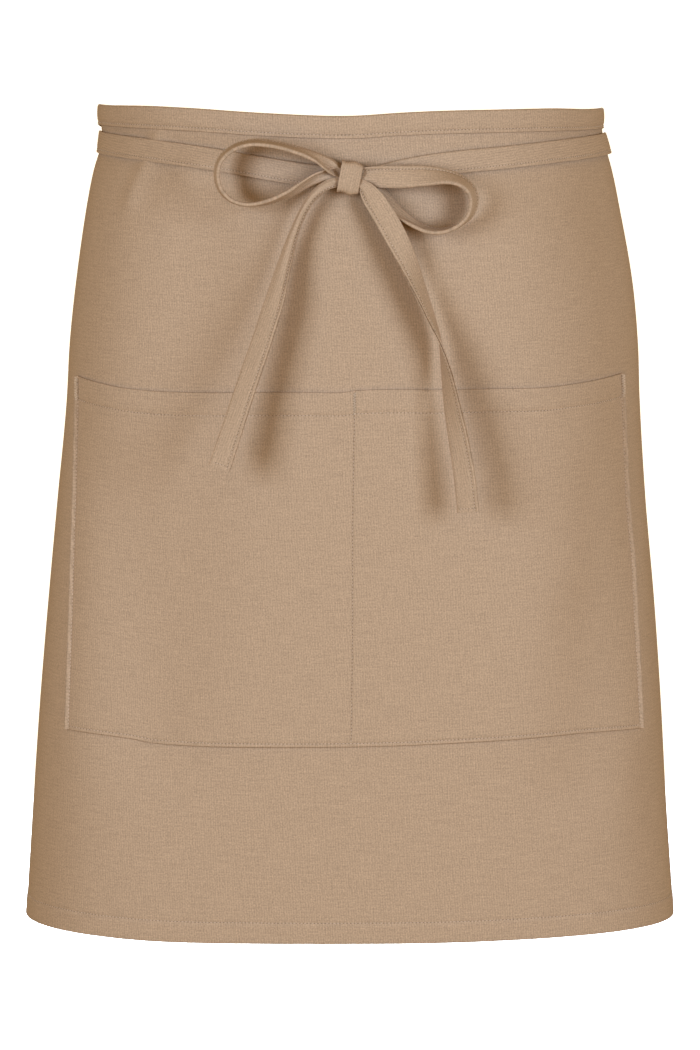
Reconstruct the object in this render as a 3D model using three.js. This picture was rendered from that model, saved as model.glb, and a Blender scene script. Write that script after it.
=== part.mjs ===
import * as THREE from 'three';

// A waist apron of beige twill, worn form, tied at the front with a bow.
// Millimetres, +Z up. The front faces -Y, and +X is on the right of someone who looks at the front.
// The origin is on the axis of the waist opening, where it is widest, halfway up the waistband.

// Cloth, the tape of the ties, and the gap kept between sewn pieces
const CLOTH = 1;
const TAPE = 1.4;
const SEAM_GAP = 0.3;
const TWILL_COLOR = 0xb89d85;
const TAPE_COLOR = 0xb1947a;
const CLOTH_ROUGHNESS = 0.9;

// Panel and waistband, as cut
const PANEL_WIDTH = 780;
const HEM_HEIGHT = -493;
const HIP_FLARE_TOP = -19;
const HIP_FLARE_FOOT = -57;
const WAISTBAND_HEIGHT = 15;
const WAISTBAND_TOP = WAISTBAND_HEIGHT / 2;
const WAISTBAND_HALF_DEPTH = CLOTH / 2 + SEAM_GAP + CLOTH;
const WAIST_DIP = 1.5;
const WAIST_DIP_REACH = 45;
const WAIST_DIP_FOOT = -60;
const BACK_SLOPE = 0.16;
const BACK_SLOPE_ROUNDING = 12;

// Divided patch pocket
const POCKET_WIDTH = 370;
const POCKET_TOP = -155;
const POCKET_BOTTOM = -373.5;
const POCKET_GAP = 0.5;
const POCKET_EASE_LEFT = 9.5;
const POCKET_EASE_RIGHT = 9;

// Waist ties and bow
const KNOT_WIDTH = 13;
const KNOT_HEIGHT = 19.4;
const KNOT_DEPTH = 10.6;
const KNOT_CORNER = 3;
const KNOT_LEAN = THREE.MathUtils.degToRad(10.5);
const KNOT_CENTRE_Z = -29;

// Fineness of the facets
const ARC_SAMPLES = 240;
const COLUMNS_ON_POCKET = 15;
const COLUMNS_BESIDE_POCKET = 15;
const POCKET_ROWS = 6;
const TIE_STEP = 8;
const TAPE_STEPS_PER_ROW = 3;
const ROUND_SEGMENTS = 4;

// Level sections of the draped cloth, from the waist down.
// halfWidth, front and back are reaches of the middle of the cloth, squareness is the
// exponent of the rounded outline (2 is an ellipse), and shift moves the section sideways.
const BODY_SECTIONS = [
  { height: 8, halfWidth: 153.6, front: 102.2, back: 116, squareness: 2.1, shift: 0 },
  { height: -10, halfWidth: 153.6, front: 102.2, back: 116, squareness: 2.1, shift: 0 },
  { height: -19, halfWidth: 154.6, front: 102.6, back: 116.6, squareness: 2.12, shift: 0.2 },
  { height: -32, halfWidth: 157.8, front: 103.1, back: 118, squareness: 2.15, shift: 0.8 },
  { height: -57, halfWidth: 163.4, front: 104, back: 120, squareness: 2.2, shift: 1.6 },
  { height: -100, halfWidth: 170.3, front: 105, back: 122, squareness: 2.26, shift: 2.5 },
  { height: -137, halfWidth: 174.1, front: 105.6, back: 123, squareness: 2.31, shift: 2.4 },
  { height: -174, halfWidth: 176.4, front: 106, back: 123.6, squareness: 2.35, shift: 1.9 },
  { height: -236, halfWidth: 181.4, front: 106, back: 124, squareness: 2.42, shift: 1 },
  { height: -300, halfWidth: 187.2, front: 106, back: 124, squareness: 2.5, shift: 0.8 },
  { height: -361, halfWidth: 191.9, front: 105.7, back: 123.6, squareness: 2.58, shift: 0.3 },
  { height: -424, halfWidth: 196.2, front: 105.3, back: 123, squareness: 2.67, shift: 0 },
  { height: -493, halfWidth: 201, front: 105, back: 122, squareness: 2.75, shift: -0.3 },
];

// Smooth curves through the columns of a table, read by the value of its key column.
function tableCurves(table, key) {
  const rows = [...table].sort((a, b) => a[key] - b[key]);
  const positions = rows.map((row) => row[key]);
  const names = Object.keys(rows[0]).filter((name) => name !== key);
  const values = rows.flatMap((row) => names.map((name) => row[name]));
  const interpolant = new THREE.CubicInterpolant(positions, values, names.length);
  return (at) => {
    const result = interpolant.evaluate(at);
    return Object.fromEntries(names.map((name, index) => [name, result[index]]));
  };
}

const sectionAt = tableCurves(BODY_SECTIONS, 'height');

// One level section as points from centre front round the right side to centre back,
// each with the length of cloth that leads to it.
const sectionCache = new Map();
function sectionOutline(height) {
  if (sectionCache.has(height)) {
    return sectionCache.get(height);
  }
  const { halfWidth, front, back, squareness, shift } = sectionAt(height);
  const points = [];
  const lengths = [0];
  for (let i = 0; i <= ARC_SAMPLES; i += 1) {
    const angle = (Math.PI * i) / ARC_SAMPLES;
    const across = Math.abs(Math.sin(angle) / halfWidth) ** squareness;
    const along = Math.abs(Math.cos(angle) / (angle < Math.PI / 2 ? front : back)) ** squareness;
    const radius = (across + along) ** (-1 / squareness);
    points.push(new THREE.Vector2(radius * Math.sin(angle), -radius * Math.cos(angle)));
    if (i > 0) {
      lengths.push(lengths[i - 1] + points[i].distanceTo(points[i - 1]));
    }
  }
  const outline = { points, lengths, halfLength: lengths[ARC_SAMPLES], shift };
  sectionCache.set(height, outline);
  return outline;
}

// How far the waist sinks at centre front, where the bow hangs on it.
function waistDip(along, height) {
  const fade = THREE.MathUtils.smoothstep(height, WAIST_DIP_FOOT, WAISTBAND_TOP);
  return WAIST_DIP * fade * Math.exp(-((along / WAIST_DIP_REACH) ** 2));
}

// How far the apron slopes down behind the sides, where the ties pull on it.
function backDrop(y) {
  return (BACK_SLOPE * (y + Math.hypot(y, BACK_SLOPE_ROUNDING))) / 2;
}

// A point of the draped cloth: along is the length of cloth from centre front, positive to the
// right, height is its level and out its distance outside the middle of the panel's cloth.
function drape(along, height, out) {
  const { points, lengths, halfLength, shift } = sectionOutline(height);
  const wrapped = along - 2 * halfLength * Math.round(along / (2 * halfLength));
  const side = Math.sign(wrapped) || 1;
  const length = Math.abs(wrapped);
  let index = 1;
  while (index < ARC_SAMPLES && lengths[index] < length) {
    index += 1;
  }
  const part = (length - lengths[index - 1]) / (lengths[index] - lengths[index - 1]);
  const start = points[index - 1];
  const end = points[index];
  const tangentX = (end.x - start.x) / (lengths[index] - lengths[index - 1]);
  const tangentY = (end.y - start.y) / (lengths[index] - lengths[index - 1]);
  const x = THREE.MathUtils.lerp(start.x, end.x, part) + tangentY * out;
  const y = THREE.MathUtils.lerp(start.y, end.y, part) - tangentX * out;
  const z = height - waistDip(along, height) - backDrop(y);
  return new THREE.Vector3(side * x + shift, y, z);
}

// Evenly spaced values through a list of stops, each stop with its number of steps.
function spacedStops(first, stops) {
  const values = [first];
  for (const { to, steps } of stops) {
    const from = values[values.length - 1];
    for (let i = 1; i <= steps; i += 1) {
      values.push(THREE.MathUtils.lerp(from, to, i / steps));
    }
  }
  return values;
}

// Turns the diagonals on one large face of a flat box, so that both faces of a twisted sheet
// fold alike and the cloth keeps its thickness. Each square is six corners: a, b, d, b, c, d.
const LOWER_FACE = 3;
const CORNERS_PER_SQUARE = 6;
function matchDiagonals(box) {
  const corners = box.getIndex();
  const { start, count } = box.groups[LOWER_FACE];
  for (let i = start; i < start + count; i += CORNERS_PER_SQUARE) {
    corners.setX(i + 2, corners.getX(i + 4));
    corners.setX(i + 3, corners.getX(i));
  }
}

// A closed sheet with a row and column of facets for each value. place gives the point for a
// column value, a row value and the side of the cloth, from -0.5 inside to 0.5 outside.
function sheetGeometry(columns, rows, place) {
  const geometry = new THREE.BoxGeometry(1, 1, 1, columns.length - 1, 1, rows.length - 1);
  matchDiagonals(geometry);
  const position = geometry.getAttribute('position');
  for (let i = 0; i < position.count; i += 1) {
    const column = columns[Math.round((position.getX(i) + 0.5) * (columns.length - 1))];
    const row = rows[Math.round((position.getZ(i) + 0.5) * (rows.length - 1))];
    const point = place(column, row, -position.getY(i));
    position.setXYZ(i, point.x, point.y, point.z);
  }
  geometry.computeVertexNormals();
  return geometry;
}

const apron = new THREE.Group();

function addPiece(name, geometry, color) {
  const material = new THREE.MeshStandardMaterial({ color, roughness: CLOTH_ROUGHNESS, metalness: 0 });
  const mesh = new THREE.Mesh(geometry, material);
  mesh.name = name;
  apron.add(mesh);
  return mesh;
}

// Panel: one rectangle of cloth round the body, open at the back
const PANEL_TOP = WAISTBAND_TOP - CLOTH - SEAM_GAP;
const panelColumns = spacedStops(-PANEL_WIDTH / 2, [
  { to: -POCKET_WIDTH / 2, steps: COLUMNS_BESIDE_POCKET },
  { to: 0, steps: COLUMNS_ON_POCKET },
  { to: POCKET_WIDTH / 2, steps: COLUMNS_ON_POCKET },
  { to: PANEL_WIDTH / 2, steps: COLUMNS_BESIDE_POCKET },
]);
const panelRows = spacedStops(HEM_HEIGHT, [
  { to: POCKET_BOTTOM, steps: 4 },
  { to: POCKET_TOP, steps: POCKET_ROWS },
  { to: HIP_FLARE_FOOT, steps: 4 },
  { to: HIP_FLARE_TOP, steps: 2 },
  { to: PANEL_TOP, steps: 2 },
]);
const panel = sheetGeometry(panelColumns, panelRows, (along, height, side) => {
  return drape(along, height, side * CLOTH);
});
addPiece('apron_panel', panel, TWILL_COLOR);

// Waistband: a folded strip over the panel's top edge
function waistbandGeometry() {
  const slot = CLOTH / 2 + SEAM_GAP;
  const profile = new THREE.Shape();
  profile.moveTo(-WAISTBAND_HALF_DEPTH, -WAISTBAND_TOP);
  profile.lineTo(-slot, -WAISTBAND_TOP);
  profile.lineTo(-slot, WAISTBAND_TOP - CLOTH);
  profile.lineTo(slot, WAISTBAND_TOP - CLOTH);
  profile.lineTo(slot, -WAISTBAND_TOP);
  profile.lineTo(WAISTBAND_HALF_DEPTH, -WAISTBAND_TOP);
  profile.lineTo(WAISTBAND_HALF_DEPTH, WAISTBAND_TOP);
  profile.lineTo(-WAISTBAND_HALF_DEPTH, WAISTBAND_TOP);
  profile.closePath();
  const steps = panelColumns.length - 1;
  const geometry = new THREE.ExtrudeGeometry(profile, { depth: 1, steps, bevelEnabled: false });
  const position = geometry.getAttribute('position');
  for (let i = 0; i < position.count; i += 1) {
    const along = panelColumns[Math.round((1 - position.getZ(i)) * steps)];
    const point = drape(along, position.getY(i), position.getX(i));
    position.setXYZ(i, point.x, point.y, point.z);
  }
  geometry.computeVertexNormals();
  return geometry;
}
addPiece('waistband', waistbandGeometry(), TWILL_COLOR);

// Pocket: one rectangle sewn to the panel at its sides, foot and middle, with ease at the mouth
function pocketEase(along, height) {
  const ease = along < 0 ? POCKET_EASE_LEFT : POCKET_EASE_RIGHT;
  const acrossHalf = Math.sin((Math.PI * Math.abs(along)) / (POCKET_WIDTH / 2));
  const belowMouth = THREE.MathUtils.smoothstep(height, POCKET_BOTTOM, POCKET_TOP);
  return ease * acrossHalf * belowMouth;
}
const pocketColumns = spacedStops(-POCKET_WIDTH / 2, [
  { to: POCKET_WIDTH / 2, steps: 2 * COLUMNS_ON_POCKET },
]);
const pocketRows = spacedStops(POCKET_BOTTOM, [{ to: POCKET_TOP, steps: POCKET_ROWS }]);
const pocket = sheetGeometry(pocketColumns, pocketRows, (along, height, side) => {
  const seat = CLOTH + POCKET_GAP + pocketEase(along, height);
  return drape(along, height, seat + side * CLOTH);
});
addPiece('pocket', pocket, TWILL_COLOR);

// Waist ties: each leaves one back end of the waistband, crosses the other at centre back
// and runs round the far side, below the waistband, into the knot.
// around is the length of tape from centre front; inner and outer are how far the middle of
// the tape stands outside the panel, on the tie that crosses underneath and on the one over it.
const HALF_WAIST = sectionOutline(0).halfLength;
const HALF_GAP = HALF_WAIST - PANEL_WIDTH / 2;
const TIE_RUN = [
  { around: 1, height: -29, width: 10, inner: 3.65, outer: 3.65 },
  { around: 9, height: -28.8, width: 10.5, inner: 3.65, outer: 3.65 },
  { around: 16, height: -28.2, width: 12.5, inner: 2.8, outer: 2.8 },
  { around: 32, height: -26.6, width: 13.5, inner: 2, outer: 2 },
  { around: 60, height: -23.6, width: 13.5, inner: 2, outer: 2 },
  { around: 90, height: -20.4, width: 13.5, inner: 2, outer: 2 },
  { around: 140, height: -17.6, width: 13.5, inner: 2, outer: 2 },
  { around: 205, height: -16.4, width: 13.5, inner: 2, outer: 2 },
  { around: 330, height: -16, width: 13.5, inner: 1.9, outer: 2 },
  { around: HALF_WAIST - HALF_GAP, height: -15.6, width: 13.5, inner: 1.7, outer: 2 },
  { around: HALF_WAIST - 0.65 * HALF_GAP, height: -14.7, width: 13.5, inner: 0.7, outer: 2.3 },
  { around: HALF_WAIST - 0.3 * HALF_GAP, height: -11.3, width: 13.5, inner: 0.3, outer: 2.5 },
  { around: HALF_WAIST, height: -7.7, width: 13.5, inner: 0.2, outer: 2.6 },
  { around: HALF_WAIST + 0.3 * HALF_GAP, height: -4.1, width: 13.5, inner: 0, outer: 2.6 },
  { around: HALF_WAIST + 0.65 * HALF_GAP, height: -0.7, width: 13.5, inner: 0, outer: 2.5 },
  { around: HALF_WAIST + 0.85 * HALF_GAP, height: 0, width: 13.5, inner: 0, outer: 0.9 },
  { around: HALF_WAIST + HALF_GAP - SEAM_GAP, height: 0, width: 13.5, inner: 0, outer: 0 },
];
const tieAt = tableCurves(TIE_RUN, 'around');

function tieGeometry(side, layer) {
  const first = TIE_RUN[0].around;
  const last = TIE_RUN[TIE_RUN.length - 1].around;
  const steps = Math.ceil((last - first) / TIE_STEP);
  const distances = spacedStops(first, [{ to: last, steps }]);
  const columns = side > 0 ? distances : distances.map((distance) => -distance).reverse();
  return sheetGeometry(columns, [-0.5, 0.5], (along, edge, face) => {
    const run = tieAt(Math.abs(along));
    return drape(along, run.height + edge * run.width, run[layer] + face * TAPE);
  });
}
addPiece('tie_left', tieGeometry(-1, 'inner'), TAPE_COLOR);
addPiece('tie_right', tieGeometry(1, 'outer'), TAPE_COLOR);

// Bow: the tapes beyond the knot. x and z are places in the front view, out is the distance in
// front of the panel at centre front, turn is how far the tape is turned about its own length
// (0 shows its face to the front, 90 its edge), and width is less where the knot gathers it.
const LOOP_LEFT = [
  { x: -1.2, out: 7.05, z: -27, turn: 180, width: 8.5 },
  { x: -7.6, out: 7.05, z: -24.4, turn: 180, width: 8 },
  { x: -13, out: 8.4, z: -21, turn: 145, width: 10.5 },
  { x: -20, out: 9.6, z: -17, turn: 115, width: 12.5 },
  { x: -32, out: 10, z: -12.4, turn: 105, width: 13.5 },
  { x: -47, out: 10, z: -8.8, turn: 104, width: 13.5 },
  { x: -60, out: 10, z: -8.3, turn: 104, width: 13.5 },
  { x: -70, out: 10, z: -11.8, turn: 104, width: 13.5 },
  { x: -77, out: 10, z: -18.5, turn: 104, width: 13.5 },
  { x: -79, out: 10, z: -27.3, turn: 104, width: 13.5 },
  { x: -77, out: 10, z: -35.4, turn: 103, width: 13.5 },
  { x: -71, out: 10, z: -41.8, turn: 100, width: 13.5 },
  { x: -61.5, out: 10, z: -44.6, turn: 94, width: 13.5 },
  { x: -51, out: 10, z: -43.5, turn: 98, width: 13.5 },
  { x: -38.5, out: 9.4, z: -39.4, turn: 108, width: 13.5 },
  { x: -27, out: 7.8, z: -32.7, turn: 124, width: 12 },
  { x: -16.6, out: 6.7, z: -28, turn: 150, width: 9.5 },
  { x: -7.6, out: 5.2, z: -26.6, turn: 174, width: 8.5 },
  { x: -1.2, out: 5.15, z: -27.4, turn: 180, width: 8.5 },
];
const LOOP_RIGHT = [
  { x: 1.2, out: 7.05, z: -29.2, turn: 0, width: 10 },
  { x: 8, out: 7.2, z: -28.6, turn: 0, width: 11.5 },
  { x: 16, out: 7.5, z: -28.4, turn: 3, width: 13 },
  { x: 30, out: 9, z: -28.4, turn: 28, width: 13.5 },
  { x: 45, out: 10, z: -27.9, turn: 55, width: 13.5 },
  { x: 58, out: 10.5, z: -28.4, turn: 71, width: 13.5 },
  { x: 67, out: 10.5, z: -31.6, turn: 75, width: 13.5 },
  { x: 72, out: 10.5, z: -36.8, turn: 76, width: 13.5 },
  { x: 73.4, out: 10.5, z: -43.5, turn: 78, width: 13.5 },
  { x: 71.3, out: 10.5, z: -50.8, turn: 82, width: 13.5 },
  { x: 66, out: 10.5, z: -56.2, turn: 87, width: 13.5 },
  { x: 59.5, out: 10.4, z: -59.4, turn: 91, width: 13.5 },
  { x: 52.5, out: 10, z: -60.6, turn: 95, width: 13.5 },
  { x: 45, out: 9.2, z: -59.5, turn: 99, width: 13.5 },
  { x: 38, out: 7.9, z: -56.3, turn: 107, width: 13 },
  { x: 31.5, out: 6.4, z: -51.8, turn: 122, width: 12 },
  { x: 25.5, out: 6, z: -46.8, turn: 136, width: 11.8 },
  { x: 19, out: 5.5, z: -41, turn: 156, width: 11.4 },
  { x: 12.5, out: 5.15, z: -35.4, turn: 170, width: 11 },
  { x: 7.2, out: 5.15, z: -31.6, turn: 178, width: 10 },
  { x: 1.2, out: 5.15, z: -29.8, turn: 180, width: 9.5 },
];
const END_LEFT = [
  { x: -1.2, out: 8.95, z: -32, turn: 0, width: 6 },
  { x: -8.6, out: 9, z: -31.6, turn: -4, width: 6 },
  { x: -15, out: 12.4, z: -34.4, turn: -54, width: 9.5 },
  { x: -21.4, out: 13.8, z: -39.6, turn: -76, width: 12.5 },
  { x: -27, out: 13.2, z: -47.2, turn: -80, width: 13.5 },
  { x: -32.7, out: 12.8, z: -60, turn: -74, width: 13.5 },
  { x: -38.6, out: 12.8, z: -78.8, turn: -56, width: 13.5 },
  { x: -44.8, out: 14.2, z: -101.4, turn: -52, width: 13.5 },
  { x: -52.6, out: 17.5, z: -125.7, turn: -45, width: 13.5 },
  { x: -62.4, out: 23.5, z: -154.1, turn: -22, width: 13.5 },
  { x: -70.4, out: 28.3, z: -178.2, turn: -8, width: 13.5 },
  { x: -77.6, out: 31, z: -199.9, turn: 0, width: 13.5 },
];
const END_RIGHT = [
  { x: 1.2, out: 8.95, z: -32.2, turn: 0, width: 7 },
  { x: 7, out: 9.1, z: -33.4, turn: 0, width: 7.5 },
  { x: 13.6, out: 11, z: -40.8, turn: 0, width: 12.5 },
  { x: 23.5, out: 13.4, z: -56.6, turn: 0, width: 13.5 },
  { x: 32.7, out: 14, z: -74.6, turn: 30, width: 13.5 },
  { x: 41.6, out: 13.6, z: -95.5, turn: 58, width: 13.5 },
  { x: 48.6, out: 13.8, z: -113, turn: 74, width: 13.5 },
  { x: 53.6, out: 14.5, z: -126.5, turn: 90, width: 13.5 },
  { x: 57, out: 16, z: -142, turn: 112, width: 13.5 },
  { x: 60.7, out: 21, z: -163.6, turn: 134, width: 13.5 },
  { x: 65, out: 23.5, z: -186.5, turn: 150, width: 13.5 },
  { x: 68.2, out: 24.5, z: -206.5, turn: 158, width: 13.5 },
  { x: 70.4, out: 25, z: -226.9, turn: 162, width: 13.5 },
];

const KNOT_PANEL_FRONT = sectionAt(KNOT_CENTRE_Z - KNOT_HEIGHT / 2).front;
const FRONT = new THREE.Vector3(0, -1, 0);

function tapeGeometry(table) {
  const centres = table.map((row) => new THREE.Vector3(row.x, -KNOT_PANEL_FRONT - row.out, row.z));
  const path = new THREE.CatmullRomCurve3(centres);
  const spans = table.length - 1;
  const numbered = table.map(({ turn, width }, index) => ({ index, turn, width }));
  const rowAt = tableCurves(numbered, 'index');
  const stations = spacedStops(0, [{ to: spans, steps: spans * TAPE_STEPS_PER_ROW }]);
  return sheetGeometry(stations, [-0.5, 0.5], (station, edge, face) => {
    const centre = path.getPoint(station / spans);
    const tangent = path.getTangent(station / spans);
    const { turn, width } = rowAt(station);
    const flat = tangent.clone().cross(FRONT).normalize();
    const across = flat.applyAxisAngle(tangent, -THREE.MathUtils.degToRad(turn));
    const normal = across.clone().cross(tangent);
    return centre.addScaledVector(across, edge * width).addScaledVector(normal, -face * TAPE);
  });
}
addPiece('bow_loop_left', tapeGeometry(LOOP_LEFT), TAPE_COLOR);
addPiece('bow_loop_right', tapeGeometry(LOOP_RIGHT), TAPE_COLOR);
addPiece('tie_end_left', tapeGeometry(END_LEFT), TAPE_COLOR);
addPiece('tie_end_right', tapeGeometry(END_RIGHT), TAPE_COLOR);

// Knot: the turn of tape that is wrapped round the others, a sleeve open to the left and right
function roundedOutline(outline, width, height, corner) {
  const right = width / 2 - corner;
  const top = height / 2 - corner;
  outline.absarc(right, top, corner, 0, Math.PI / 2);
  outline.absarc(-right, top, corner, Math.PI / 2, Math.PI);
  outline.absarc(-right, -top, corner, Math.PI, 1.5 * Math.PI);
  outline.absarc(right, -top, corner, 1.5 * Math.PI, 2 * Math.PI);
  outline.closePath();
  return outline;
}
const knotProfile = roundedOutline(new THREE.Shape(), KNOT_DEPTH, KNOT_HEIGHT, KNOT_CORNER);
const knotInside = roundedOutline(
  new THREE.Path(),
  KNOT_DEPTH - 2 * TAPE,
  KNOT_HEIGHT - 2 * TAPE,
  KNOT_CORNER - TAPE,
);
knotProfile.holes.push(knotInside);
const knot = new THREE.ExtrudeGeometry(knotProfile, {
  depth: KNOT_WIDTH,
  steps: 1,
  curveSegments: ROUND_SEGMENTS,
  bevelEnabled: false,
});
knot.translate(0, 0, -KNOT_WIDTH / 2);
const AXIS_X = new THREE.Vector3(1, 0, 0);
const AXIS_Y = new THREE.Vector3(0, 1, 0);
const AXIS_Z = new THREE.Vector3(0, 0, 1);
knot.applyMatrix4(new THREE.Matrix4().makeBasis(AXIS_Y, AXIS_Z, AXIS_X));
const knotMesh = addPiece('bow_knot', knot, TAPE_COLOR);
knotMesh.position.set(0, -KNOT_PANEL_FRONT - CLOTH / 2 - SEAM_GAP - KNOT_DEPTH / 2, KNOT_CENTRE_Z);
knotMesh.rotation.y = KNOT_LEAN;

export default apron;
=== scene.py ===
import math

import bpy
import numpy as np
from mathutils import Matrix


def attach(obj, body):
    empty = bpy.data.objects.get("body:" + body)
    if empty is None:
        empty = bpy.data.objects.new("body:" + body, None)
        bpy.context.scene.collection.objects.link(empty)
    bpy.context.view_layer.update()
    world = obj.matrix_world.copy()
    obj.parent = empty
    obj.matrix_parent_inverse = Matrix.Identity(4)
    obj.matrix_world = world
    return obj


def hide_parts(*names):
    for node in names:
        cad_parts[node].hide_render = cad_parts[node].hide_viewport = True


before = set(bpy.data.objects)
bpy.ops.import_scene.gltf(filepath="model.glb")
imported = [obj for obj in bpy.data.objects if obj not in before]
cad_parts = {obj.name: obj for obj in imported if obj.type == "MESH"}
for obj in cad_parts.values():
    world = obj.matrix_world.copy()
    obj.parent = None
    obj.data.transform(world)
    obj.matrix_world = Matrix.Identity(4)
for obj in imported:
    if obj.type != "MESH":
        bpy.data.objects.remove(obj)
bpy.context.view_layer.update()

bpy.ops.object.select_all(action="DESELECT")


# Apron panel: one rectangle of beige polyester-cotton twill, hung from the waistband round the hips.
# It is open at the back. Its foot and its two back edges are turned in and sewn with one row of stitches.
MM = 0.001
CLOTH = 0.5 * MM
FOLD_RADIUS = 0.3 * MM
GROOVE_SPREAD = 0.8 * MM
PANEL_HALF_WIDTH = 390 * MM
PANEL_TOP = 5 * MM
HEM = -493 * MM
HEM_TURNING = 14.5 * MM
HEM_SEAM = HEM + 12.7 * MM
BACK_TURNING = 9 * MM
BACK_SEAM = 7 * MM
TWILL_COLOR = (0.478, 0.336, 0.233)
THREAD_COLOR = (0.62, 0.475, 0.35)
# Painted shade: the dark colour given to the needle holes in front of the stitches.
NEEDLE_HOLE_SHADE_COLOR = (0.35, 0.24, 0.163)

# Level sections of the worn cloth: height, half width, reach to the front and to the back,
# squareness of the outline and shift to the side.
BODY_SECTIONS = np.array([
    (-493, 200.7, 105, 122, 2.75, -0.5),
    (-424, 196.1, 105.3, 123, 2.67, -0.2),
    (-361, 192.2, 105.7, 123.6, 2.58, 0.8),
    (-300, 187.4, 106, 124, 2.5, 1.5),
    (-236, 181.4, 106, 124, 2.42, 1.6),
    (-174, 176.3, 106, 123.6, 2.35, 2.6),
    (-137, 174.5, 105.6, 123, 2.31, 3),
    (-100, 170.7, 105, 122, 2.26, 3.2),
    (-57, 163.7, 104, 120, 2.2, 2.4),
    (-32, 158.7, 103.1, 118, 2.15, 1.9),
    (-19, 155.4, 102.6, 116.6, 2.12, 1.3),
    (-10, 153.6, 102.2, 116, 2.1, 0.7),
    (8, 153.3, 102.2, 116, 2.1, 0.4),
]) * (MM, MM, MM, MM, 1, MM)

# Hollows of the worn cloth at the flanks and front corners: where each lies, in half widths of cloth from
# centre front, and how deep it is at the left and at the right. Below zero the cloth is full.
SIDE_HOLLOWS = ((1.05, -1 * MM, 4.5 * MM), (0.56, 6 * MM, -4 * MM))
HOLLOW_SPREAD = 0.2
HOLLOW_TOP, HOLLOW_FOOT = -60 * MM, -280 * MM

# The waist is a little lower at centre front, and slopes down towards the back.
WAIST_DIP = 1.5 * MM
WAIST_DIP_SPREAD = 45 * MM
BACK_SLOPE = 0.08
BACK_SLOPE_BEND = 12 * MM


def curve_between(part, start, end, start_lean, end_lean):
    """A smooth curve from one place to the next that leaves and arrives with the given leans."""
    begin = (2 * part**3 - 3 * part**2 + 1) * start + (part**3 - 2 * part**2 + part) * start_lean
    return begin + (3 * part**2 - 2 * part**3) * end + (part**3 - part**2) * end_lean


def smooth_table(table, at):
    """Reads a table smoothly between its rows. The first column holds the stops."""
    stops, values = table[:, 0], table[:, 1:]
    slopes = np.diff(values, axis=0) / np.diff(stops)[:, None]
    leans = np.vstack([slopes[:1], (slopes[1:] + slopes[:-1]) / 2, slopes[-1:]])
    at = np.clip(np.atleast_1d(at), stops[0], stops[-1])
    row = np.clip(np.searchsorted(stops, at, side="right") - 1, 0, len(stops) - 2)
    span = (stops[row + 1] - stops[row])[:, None]
    part = (at - stops[row])[:, None] / span
    return curve_between(part, values[row], values[row + 1], span * leans[row], span * leans[row + 1])


def ease_between(value, low, high):
    """Goes softly from 0 at one value to 1 at the other."""
    part = np.clip((value - low) / (high - low), 0, 1)
    return part * part * (3 - 2 * part)


def waist_outline(level, side):
    """Half of a level section, from centre front to centre back, and the length of cloth to each point."""
    half_width, front, back, squareness, shift = smooth_table(BODY_SECTIONS, level)[0]
    angle = np.linspace(0, np.pi, 721)
    depth = np.where(angle < np.pi / 2, front, back)
    across = abs(np.sin(angle) / half_width) ** squareness
    reach = (across + abs(np.cos(angle) / depth) ** squareness) ** (-1 / squareness)
    x, y = reach * np.sin(angle), -reach * np.cos(angle)
    length = np.append(0, np.cumsum(np.hypot(np.diff(x), np.diff(y))))
    lean_x, lean_y = np.gradient(x, length), np.gradient(y, length)
    part = length / half_width
    hollow = 0 * part
    for middle, left, right in SIDE_HOLLOWS:
        hollow += (left if side < 0 else right) * np.exp(-(((part - middle) / HOLLOW_SPREAD) ** 2))
    hollow *= ease_between(level, HEM, HOLLOW_FOOT) * ease_between(level, 0, HOLLOW_TOP)
    x, y = x - lean_y * hollow, y + lean_x * hollow
    length = np.append(0, np.cumsum(np.hypot(np.diff(x), np.diff(y))))
    return x, y, length, shift


def drape(along, height, out):
    """Places on the worn apron, by length of cloth from centre front, level, and distance off the panel."""
    along, height, out = np.broadcast_arrays(along, height, out)
    place = np.empty(along.shape + (3,))
    # One section serves all places within a tenth of a millimetre of its level.
    nearby = np.round(height, 4)
    for level, side in ((level, side) for level in np.unique(nearby) for side in (-1, 1)):
        x, y, length, shift = waist_outline(level, side)
        wrapped = along - 2 * length[-1] * np.round(along / (2 * length[-1]))
        here = (nearby == level) & ((wrapped < 0) == (side < 0))
        far = abs(wrapped[here])
        lean_x = np.interp(far, length, np.gradient(x, length))
        lean_y = np.interp(far, length, np.gradient(y, length))
        place[here, 0] = side * (np.interp(far, length, x) + lean_y * out[here]) + shift
        place[here, 1] = np.interp(far, length, y) - lean_x * out[here]
    dip = WAIST_DIP * ease_between(height, -60 * MM, 7.5 * MM) * np.exp(-((along / WAIST_DIP_SPREAD) ** 2))
    back_drop = BACK_SLOPE * (place[..., 1] + np.hypot(place[..., 1], BACK_SLOPE_BEND))
    place[..., 2] = height - dip - back_drop
    return place


def turned_edge(edge, inward, turning, steps):
    """Stops across a turned edge, from its raw end round the fold, and how deep each lies."""
    flat = edge + inward * np.linspace(turning, FOLD_RADIUS, steps)[:-1]
    angle = np.radians(np.linspace(-90, 90, 7))
    place = np.append(flat, edge + inward * FOLD_RADIUS * (1 - np.cos(angle)))
    depth = np.append(np.full(steps - 1, -2 * FOLD_RADIUS), FOLD_RADIUS * (np.sin(angle) - 1))
    return place, depth


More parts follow.
